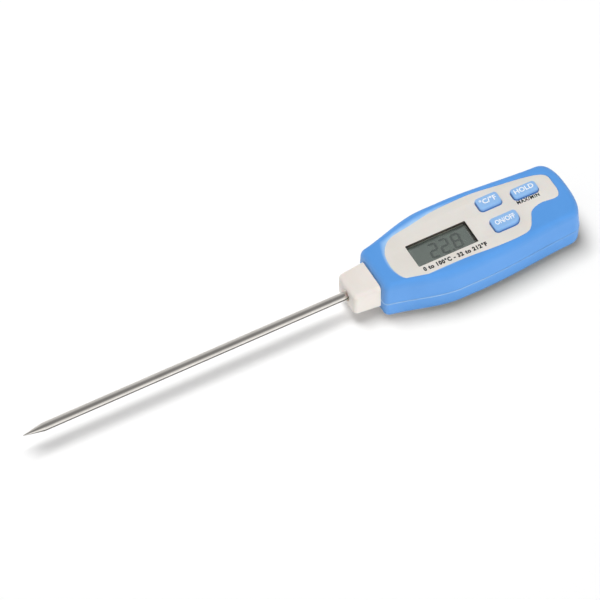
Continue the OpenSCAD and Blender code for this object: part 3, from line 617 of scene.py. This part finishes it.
def window_loop(left, near, right, far):
    """Corners of a rectangle whose sides lie outside the window's opening by those amounts."""
    x0, x1 = WINDOW_X - WINDOW_L / 2 - left, WINDOW_X + WINDOW_L / 2 + right
    y0, y1 = WINDOW_Y - WINDOW_W / 2 - near, WINDOW_Y + WINDOW_W / 2 + far
    return np.array([[x0, y0], [x1, y0], [x1, y1], [x0, y1]])


# The dark strip along the window's right side is painted shadow of its wall.
for name, material, outer, inner in (
        ("display_wall_shadow", wall_shadow_film, (1.2, 1.2, 1.2, 1.2), (0.6, 0.6, -0.6, 0.45)),
        ("display_edge", pale, (0.6, 0.6, -0.6, 0.45), (0.55, 0.55, -0.65, 0.1))):
    edge = flat_plate(name, [window_loop(*outer), window_loop(*inner)], CELL_TOP, CELL_TOP + FILM,
                      0.004)
    edge.data.materials.append(material)
    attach(edge, "housing")

DIGIT_L, DIGIT_W, STROKE, SLANT, SEGMENT_GAP = 3.3, 6.2, 0.72, 0.1, 0.08
READING_Y, POINT_X, POINT = -1.75, 28.35, 0.7
# Place of each segment's middle in half sizes of the figure, and whether it stands upright.
SEGMENTS = {"a": (0, 1, 0), "b": (1, 0.5, 1), "c": (1, -0.5, 1), "d": (0, -1, 0),
            "e": (-1, -0.5, 1), "f": (-1, 0.5, 1), "g": (0, 0, 0)}


def segment_shape(u, v, upright):
    """Long hexagon of one segment, with its middle at u, v of the figure's half sizes, and leant
    over by the slant times its height."""
    half = (DIGIT_W / 4 if upright else DIGIT_L / 2 - STROKE / 2) - SEGMENT_GAP
    s = STROKE / 2
    shape = np.array([[-half, 0], [-half + s, s], [half - s, s], [half, 0], [half - s, -s],
                      [-half + s, -s]])
    middle = [u * (DIGIT_L - STROKE) / 2, v * (DIGIT_W - STROKE) / 2]
    shape = (shape[:, ::-1] if upright else shape) + middle
    return shape + np.stack([SLANT * shape[:, 1], 0 * shape[:, 1]], 1)


def add_figures(name, z, shift):
    """The reading 22.8 with its point, as thin plates at z, moved by shift."""
    shapes = []
    for x, lit in ((22.3, "abged"), (26.4, "abged"), (30.9, "abcdefg")):
        shapes += [segment_shape(*SEGMENTS[key]) + [x, READING_Y] for key in lit]
    shapes.append(soft_rectangle(POINT, POINT, 0.1, steps=2)
                  + [POINT_X, READING_Y - DIGIT_W / 2 + POINT / 2])
    points, faces = [], []
    for shape in shapes:
        first, n = sum(len(p) for p in points), len(shape)
        points += [at_height(shape + shift, z), at_height(shape + shift, z + 0.01)]
        faces += (np.array(ring_faces(2, n)) + first).tolist()
        faces += [list(range(first + n - 1, first - 1, -1)),
                  list(range(first + n, first + 2 * n))]
    return add_piece(name, np.vstack(points), faces, 20)


dark, *_ = moulded_material("segment_dark", (66, 74, 68), (57, 65, 60), mottle=400, smooth=0.3,
                            rough=0.4, bump=0.02)
ghost, *_ = moulded_material("segment_shadow", (90, 98, 91), (84, 92, 86), mottle=400, smooth=0.3,
                             rough=0.4, bump=0.02)
for name, z, shift, material in (("reading_shadow", CELL_TOP + 0.005, [0.28, -0.3], ghost),
                                 ("reading", CELL_TOP + 0.03, [0, 0], dark)):
    figures = add_figures(name, z, shift)
    figures.data.materials.append(material)
    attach(figures, "housing")

# ---- keys ----------------------------------------------------------------------------------------
# Three keys of one translucent silicone keypad, that stand 1 mm out of the panel. Each has a foot
# under the panel that stops it, a thin skirt that collapses when it is pressed, and a white legend
# printed on its top.


def upward(tree):
    """How far the surface faces up: the Z part of its normal, from -1 to 1."""
    normal = add_node(tree, "ShaderNodeNewGeometry").outputs["Normal"]
    return add_node(tree, "ShaderNodeSeparateXYZ", {"Vector": normal}).outputs["Z"]


key_mat, key_tree, key_shader, key_surface = moulded_material(
    "pale_silicone", (150, 191, 236), (140, 184, 232), mottle=150, grain=3500, smooth=0.38,
    rough=0.52, bump=0.08, Subsurface_Weight=0.15, Subsurface_Radius=(0.5, 0.8, 1.0),
    Subsurface_Scale=0.0006)
# Painted shade: the rubber is painted darker where it turns away from the top.
side_shaded = blended(key_tree, mapped(key_tree, upward(key_tree), 0.95, 0.1),
                 key_surface.outputs["Color"], srgb(62, 116, 188))
key_tree.links.new(side_shaded, key_shader.inputs["Base Color"])
legend_white, *_ = moulded_material("white_ink", (250, 250, 252), (240, 243, 248), mottle=900,
                                    smooth=0.35, rough=0.5, bump=0.03)
FOOT, FOOT_TOP, KEY_TOP, WEB_TOP = 12.1, 13.1, 17.3, 10.8
FOOT_OUT, KEY_EDGE, NEAR_ROUND = 0.6, 16.4, 1.3


def key_shape(name, x, y, l, w, r):
    """Key as rings from its foot up: the foot, the straight walls and an edge rounded by 0.25 mm,
    on the near side by 1.3 mm, then a top that is drawn together to one point."""
    profile = [(-FOOT_OUT, -FOOT_OUT, FOOT), (-FOOT_OUT, -FOOT_OUT, FOOT_TOP - 0.05),
               (-FOOT_OUT + 0.05, -FOOT_OUT + 0.05, FOOT_TOP), (-0.02, -0.02, FOOT_TOP),
               (0, 0, FOOT_TOP + 0.05)]
    profile += [(0.25 * (1 - math.cos(a)) - 0.06, NEAR_ROUND * (1 - math.cos(a)),
                 KEY_EDGE + (KEY_TOP - KEY_EDGE) * math.sin(a))
                for a in np.radians(np.linspace(0, 90, 13))]
    rings = [at_height(soft_rectangle(l - 2 * d, w - d - near, max(KEY_CORNER - d, 0.25),
                                      max(r - d, 0.25)) + [x, y + (near - d) / 2], z)
             for d, near, z in profile]
    top, n = rings[-1], len(rings[-1])
    middle = np.array([x, y + 0.4, KEY_TOP])
    rings += [middle + (top - middle) * share for share in (0.8, 0.5, 0.2)]
    points = np.vstack(rings + [[middle], [[x, y, FOOT]]])
    last, pole = (len(rings) - 1) * n, len(rings) * n
    faces = ring_faces(len(rings), n)
    faces += [[last + k, last + (k + 1) % n, pole] for k in range(n)]
    faces += [[(k + 1) % n, k, pole + 1] for k in range(n)]
    return add_piece(name, points, faces, 40)


def skirt_shape(name, x, y, l, w, r):
    """Thin wall of 0.5 mm that leans in from the keypad's web up to the key's foot."""
    half_up = (WEB_TOP + FOOT) / 2
    rings = [at_height(soft_rectangle(l + 2 * out, w + 2 * out, KEY_CORNER + out, r + out)
                       + [x, y], z)
             for out, z in ((1.4, WEB_TOP), (1.0, half_up), (0.6, FOOT), (0.1, FOOT),
                            (0.5, half_up), (0.9, WEB_TOP))]
    return add_piece(name, np.stack(rings), ring_faces(6, len(rings[0]), True), 40)


for name, words, length, height in (("unit", "°C/°F", 6.0, 2.1), ("hold", "HOLD", 7.0, 1.9),
                                    ("power", "ON/OFF", 7.2, 2.0)):
    x, y, l, w, r = KEYS[name]
    key = key_shape(name + "_button_cap", x, y, l, w, r)
    key.data.materials.append(key_mat)
    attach(key, name + "_button")
    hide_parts(name + "_key")
    skirt = skirt_shape(name + "_collapsing_skirt", x, y, l, w, r)
    skirt.data.materials.append(key_mat)
    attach(skirt, "housing")
    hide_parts(name + "_key_skirt")
    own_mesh(skirt)
    legend = add_lettering("legend_" + name, words, x, y + 0.45, KEY_TOP, length, height, 0.02)
    legend.data.materials.append(legend_white)
    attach(legend, name + "_button")

# ---- collar --------------------------------------------------------------------------------------
# Square off-white ABS collar that leads the stem into the grip and takes the mouth of a sheath.
# It tapers by 0.6 mm a side towards the stem and has a round recess about it.

AXIS = 8.5
COLLAR_L, COLLAR_W, COLLAR_H, COLLAR_TAPER, COLLAR_ROUND, TENON = 9.5, 12.8, 10.6, 0.6, 1.5, 1.9
CORNER_POINTS = 13
a = np.radians(np.arange(4)[:, None] * 90 + np.linspace(0, 90, CORNER_POINTS)[None]).ravel()
bearing = np.stack([np.cos(a), np.sin(a)], 1)


def across_axis(x, points):
    """Ring of the points, given about the stem's axis, at x."""
    return np.column_stack([np.full(len(points), x), points + [0, AXIS]])


def collar_ring(x, d, r):
    """Section of the collar at x, drawn in by d beyond its taper, with corners of radius r."""
    narrower = 2 * (COLLAR_TAPER * min(1, -x / COLLAR_L) + d)
    return across_axis(x, soft_rectangle(COLLAR_W - narrower, COLLAR_H - narrower, r,
                                         steps=CORNER_POINTS - 1))


# The block from the tenon in the grip to its rounded nose, then the recess and the stem's bore.
rings = [collar_ring(TENON, 2.0, 0.4), collar_ring(0.0, 2.0, 0.4)]
rings += [collar_ring(x, 0.0, COLLAR_ROUND) for x in [0.0, *np.linspace(-0.8, -7.9, 8)]]
rings += [collar_ring(COLLAR_ROUND - COLLAR_L - COLLAR_ROUND * math.sin(b),
                      COLLAR_ROUND * (1 - math.cos(b)), COLLAR_ROUND - 1.3 * (1 - math.cos(b)))
          for b in np.radians(np.linspace(10, 90, 9))]
bore = [(-COLLAR_L, 2.3), (-9.46, 2.17), (-9.38, 2.1), (-8.3, 2.1), (-8.3, 1.31), (TENON, 1.31)]
bore_rings = [across_axis(x, bearing * r) for x, r in bore]
rings += bridged(rings[-1], bore_rings[0]) + bore_rings
collar = ring_piece("stem_collar", rings)
collar_white, *_ = moulded_material(
    "collar_abs", (235, 229, 223), (228, 221, 214), mottle=60, smooth=0.34, rough=0.46,
    Subsurface_Weight=0.15, Subsurface_Scale=0.0012)
collar.data.materials.append(collar_white)
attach(collar, "housing")
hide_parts("probe_collar")

# ---- stem ----------------------------------------------------------------------------------------
# Stainless steel tube of 3 mm, closed and ground to a point at its end, where the sensor sits.
# It is moulded into the collar. Centreless grinding leaves fine rings round it.

TIP, STEM_R, SHANK_R, STEM_SIDES = -129.5, 1.5, 1.3, 64
profile = np.array(
    [(0.0, 0.05), (0.06, 0.1), (0.18, 0.14), (7.2, 1.452), (7.35, 1.476), (7.5, 1.49)]
    + [(x, STEM_R) for x in [7.8, *np.linspace(9, 119.2, 60), 119.45]]
    + [(x, SHANK_R) for x in (119.5, 123, 126)])
along, radius = profile[:, :1], profile[:, 1:]
around = np.arange(STEM_SIDES) * 2 * math.pi / STEM_SIDES
points = np.stack([np.broadcast_to(along + TIP, (len(profile), STEM_SIDES)),
                   radius * np.cos(around), AXIS + radius * np.sin(around)], -1)
last = (len(profile) - 1) * STEM_SIDES
faces = ring_faces(len(profile), STEM_SIDES)
faces += [list(range(STEM_SIDES)), list(range(last, last + STEM_SIDES))]
stem = add_piece("stem_tube", points, faces, 30)


def steel_group():
    """Polished steel: ground lines in the roughness and the height, as close along each axis as
    Lines says, over faint stains between two greys."""
    tree, given, result = surface_group("Ground steel surface", [
        ("Lines", "Vector", (400, 400, 400)), ("Smooth", "Float", 0.1), ("Rough", "Float", 0.17)])
    where = object_place(tree)
    spaced = add_node(tree, "ShaderNodeMapping",
                      {"Vector": where, "Scale": given.outputs["Lines"]})
    lines = noise(tree, spaced.outputs["Vector"], 1.0, 4.0, 0.65)
    stain = mapped(tree, noise(tree, where, 130.0, 5.0), 0.3, 0.7)
    metal = blended(tree, stain, srgb(226, 222, 216), srgb(238, 234, 228))
    rough = mapped(tree, lines, 0.3, 0.7, given.outputs["Smooth"], given.outputs["Rough"])
    for key, value in (("Color", metal), ("Roughness", rough), ("Height", lines)):
        tree.links.new(value, result.inputs[key])
    return tree


ground = steel_group()


def steel_material(name, lines, smooth, rough):
    """Polished steel with ground lines of that closeness and that range of roughness."""
    return surface_material(name, ground, {"Lines": lines, "Smooth": smooth, "Rough": rough},
                            0.02, 0.00002, Metallic=1.0)


def grey_ramp(tree, value, stops):
    """Grey of the value by a colour ramp. The first two stops take the ramp's own ends."""
    ramp = add_node(tree, "ShaderNodeValToRGB", {"Fac": value})
    elements = ramp.color_ramp.elements
    for k, (position, grey) in enumerate(stops):
        stop = elements[k] if k < 2 else elements.new(position)
        stop.position, stop.color = position, (grey, grey, grey, 1)
    return ramp.outputs["Color"]


steel, steel_tree, steel_shader, steel_surface = steel_material(
    "ground_steel", (9000, 260, 260), 0.1, 0.17)
# Painted reflection: the bar is painted darker where it faces down, the dark line that a dark
# studio wall would leave along the lower side of a polished bar.
painted_reflection_band = grey_ramp(steel_tree, mapped(steel_tree, upward(steel_tree), -1.0, 1.0),
                 ((0.22, 0.0), (0.59, 0.0), (0.32, 1.0), (0.52, 1.0)))
shaded = blended(steel_tree, painted_reflection_band, steel_surface.outputs["Color"], srgb(66, 62, 56))
steel_tree.links.new(shaded, steel_shader.inputs["Base Color"])
stem.data.materials.append(steel)
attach(stem, "housing")
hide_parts("probe_tube")

# ---- battery door and screws ---------------------------------------------------------------------
# The round door of the button cell is moulded from the same blue ABS and turned with a coin. The
# housing and board screws are nickel-plated steel. All keep the CAD model's shape, with broken
# edges.

plated_steel, *_ = steel_material("plated_steel", (400, 400, 400), 0.2, 0.32)
for node, material, width in (("battery_cap", blue, 0.12), ("housing_screws", plated_steel, 0.05),
                              ("board_screws", plated_steel, 0.04)):
    paint(node, material)
    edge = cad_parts[node].modifiers.new("edge", "BEVEL")
    edge.width, edge.segments = width * MM, 2
    edge.limit_method, edge.angle_limit = "ANGLE", math.radians(40)

# ---- parts inside --------------------------------------------------------------------------------
# Circuit board, its parts, the contacts, the keypad's web and the seal: CAD solids that show only
# where the grip is opened. Each gets the surface of what it is made of.

# Of each node: the name, two colours and range of roughness of its material.
inner = {
    "tip_potting": ("epoxy_fill", (88, 86, 84), (70, 68, 66), 0.5, 0.7),
    "thermistor_bead": ("bead_coating", (120, 72, 40), (92, 52, 28), 0.25, 0.4),
    "thermistor_leads": ("wire_sleeve", (196, 74, 60), (176, 62, 50), 0.35, 0.5),
    "display_frame": ("natural_plastic", (226, 226, 220), (216, 216, 208), 0.4, 0.55),
    "contact_strips": ("striped_elastomer", (120, 120, 122), (60, 60, 62), 0.5, 0.7),
    "circuit_board": ("solder_mask", (32, 104, 58), (22, 84, 46), 0.25, 0.4),
    "controller_blob": ("black_epoxy", (38, 38, 40), (26, 26, 28), 0.2, 0.35),
    "board_capacitors": ("sintered_ceramic", (190, 160, 118), (170, 138, 98), 0.5, 0.7),
    "board_resistors": ("chip_glaze", (36, 36, 38), (24, 24, 26), 0.25, 0.4),
    "battery_cap_seal": ("nitrile_rubber", (44, 44, 46), (32, 32, 34), 0.45, 0.65)}
for node, (name, light, deep, smooth, rough) in inner.items():
    paint(node, moulded_material(name, light, deep, mottle=500, smooth=smooth, rough=rough)[0])
paint("keypad_mat", key_mat)
carbon, *_ = moulded_material("carbon_rubber", (40, 40, 42), (28, 28, 30), mottle=900, smooth=0.5,
                              rough=0.7)
plated, *_ = moulded_material("nickel_can", (206, 205, 200), (190, 188, 182), mottle=300,
                              smooth=0.15, rough=0.3, Metallic=1.0)
bronze, *_ = moulded_material("plated_bronze", (222, 186, 116), (204, 166, 98), mottle=400,
                              smooth=0.2, rough=0.35, Metallic=1.0)
for material, nodes in ((carbon, ("unit_key_pill", "hold_key_pill", "power_key_pill")),
                        (plated, ("button_cell", "quartz_crystal")),
                        (bronze, ("cell_contact_positive", "cell_contact_negative"))):
    for node in nodes:
        paint(node, material)

# ---- floor, light and camera ---------------------------------------------------------------------
# White table that keeps the shadow of one soft light above and behind, a low light in front that
# throws none, a studio that steel reflects, and a very long lens from 52 degrees above.

TABLE_HALF, TABLE_Z, WHITE = 6.0, -5e-5, (1, 1, 1, 1)
table = bpy.data.meshes.new("table")
table.from_pydata([(x * TABLE_HALF, y * TABLE_HALF, TABLE_Z)
                   for x, y in ((-1, -1), (1, -1), (1, 1), (-1, 1))], [], [(0, 1, 2, 3)])
floor = linked("table", table)
floor.data.materials.append(new_material("white_table", Base_Color=WHITE, Roughness=1.0,
                                         Specular_IOR_Level=0.0)[0])


def add_area(name, position, target, width, height, power):
    """Soft light of that width and height at the position, turned to the target."""
    data = bpy.data.lights.new(name, "AREA")
    data.shape, data.size, data.size_y, data.energy = "RECTANGLE", width, height, power
    obj = linked(name, data)
    obj.location = position
    obj.rotation_mode = "QUATERNION"
    obj.rotation_quaternion = (Vector(target) - Vector(position)).to_track_quat("-Z", "Y")
    obj.visible_glossy = False
    return obj


add_area("key_light", (-0.1, 0.36, 1.5), (0.03, 0, 0), 0.7, 0.95, 19.5)
fill = add_area("fill_light", (0.5, -1.35, 0.26), (0.05, 0, 0), 1.2, 0.35, 12.5)
fill.data.use_shadow = False

# The studio is white to the camera. Dull surfaces are lit more from the left, and polished ones
# mirror a studio that is bright in front, dark overhead and paler behind.
world = bpy.data.worlds.new("studio")
bpy.context.scene.world = world
world.use_nodes = True
tree = world.node_tree
tree.nodes.clear()
where = add_node(tree, "ShaderNodeTexCoord").outputs["Generated"]
parts = add_node(tree, "ShaderNodeSeparateXYZ", {"Vector": where})
left = mapped(tree, parts.outputs["X"], 0.1, -0.9, 0.08, 0.52)
dull = add_node(tree, "ShaderNodeBackground", {"Color": WHITE, "Strength": left})
wall = grey_ramp(tree, mapped(tree, parts.outputs["Y"], -1.0, 1.0),
                 ((0.0, 1.1), (1.0, 0.75), (0.08, 0.45), (0.2, 0.23), (0.5, 0.26), (0.78, 0.56)))
mirrored = add_node(tree, "ShaderNodeBackground", {"Color": wall, "Strength": 1.0})
plain = add_node(tree, "ShaderNodeBackground", {"Color": WHITE, "Strength": 1.0})
seen = add_node(tree, "ShaderNodeLightPath")
sky = add_node(tree, "ShaderNodeMixShader", {0: seen.outputs["Is Glossy Ray"], 1: dull.outputs[0],
                                             2: mirrored.outputs[0]})
both = add_node(tree, "ShaderNodeMixShader", {0: seen.outputs["Is Camera Ray"], 1: sky.outputs[0],
                                              2: plain.outputs[0]})
add_node(tree, "ShaderNodeOutputWorld", {"Surface": both.outputs[0]})

AZIMUTH, ELEVATION, DISTANCE = math.radians(-28.9), math.radians(52), 8.0
PICTURE, PX_PER_MM, SENSOR = 600, 3.06, 36
MOUTH_ACROSS, MOUTH_DOWN = 345.9, 295.2  # where the collar's mouth lies in the picture, in pixels
back = Vector((math.sin(AZIMUTH) * math.cos(ELEVATION), -math.cos(AZIMUTH) * math.cos(ELEVATION),
               math.sin(ELEVATION)))
right = Vector((math.cos(AZIMUTH), math.sin(AZIMUTH), 0))
up = back.cross(right)
collar_mouth = Vector(((GRIP - COLLAR_L) * MM, 0, AXIS * MM))
aim = collar_mouth + (right * (PICTURE / 2 - MOUTH_ACROSS)
                      + up * (MOUTH_DOWN - PICTURE / 2)) * (MM / PX_PER_MM)
lens = bpy.data.cameras.new("camera")
lens.sensor_width = SENSOR
lens.lens = SENSOR / PICTURE * PX_PER_MM * DISTANCE / MM
lens.clip_start, lens.clip_end = 0.1, 100
camera = linked("camera", lens)
camera.location = aim + back * DISTANCE
camera.rotation_mode = "QUATERNION"
camera.rotation_quaternion = (-back).to_track_quat("-Z", "Y")
bpy.context.scene.camera = camera
bpy.context.scene.view_settings.view_transform = "Standard"
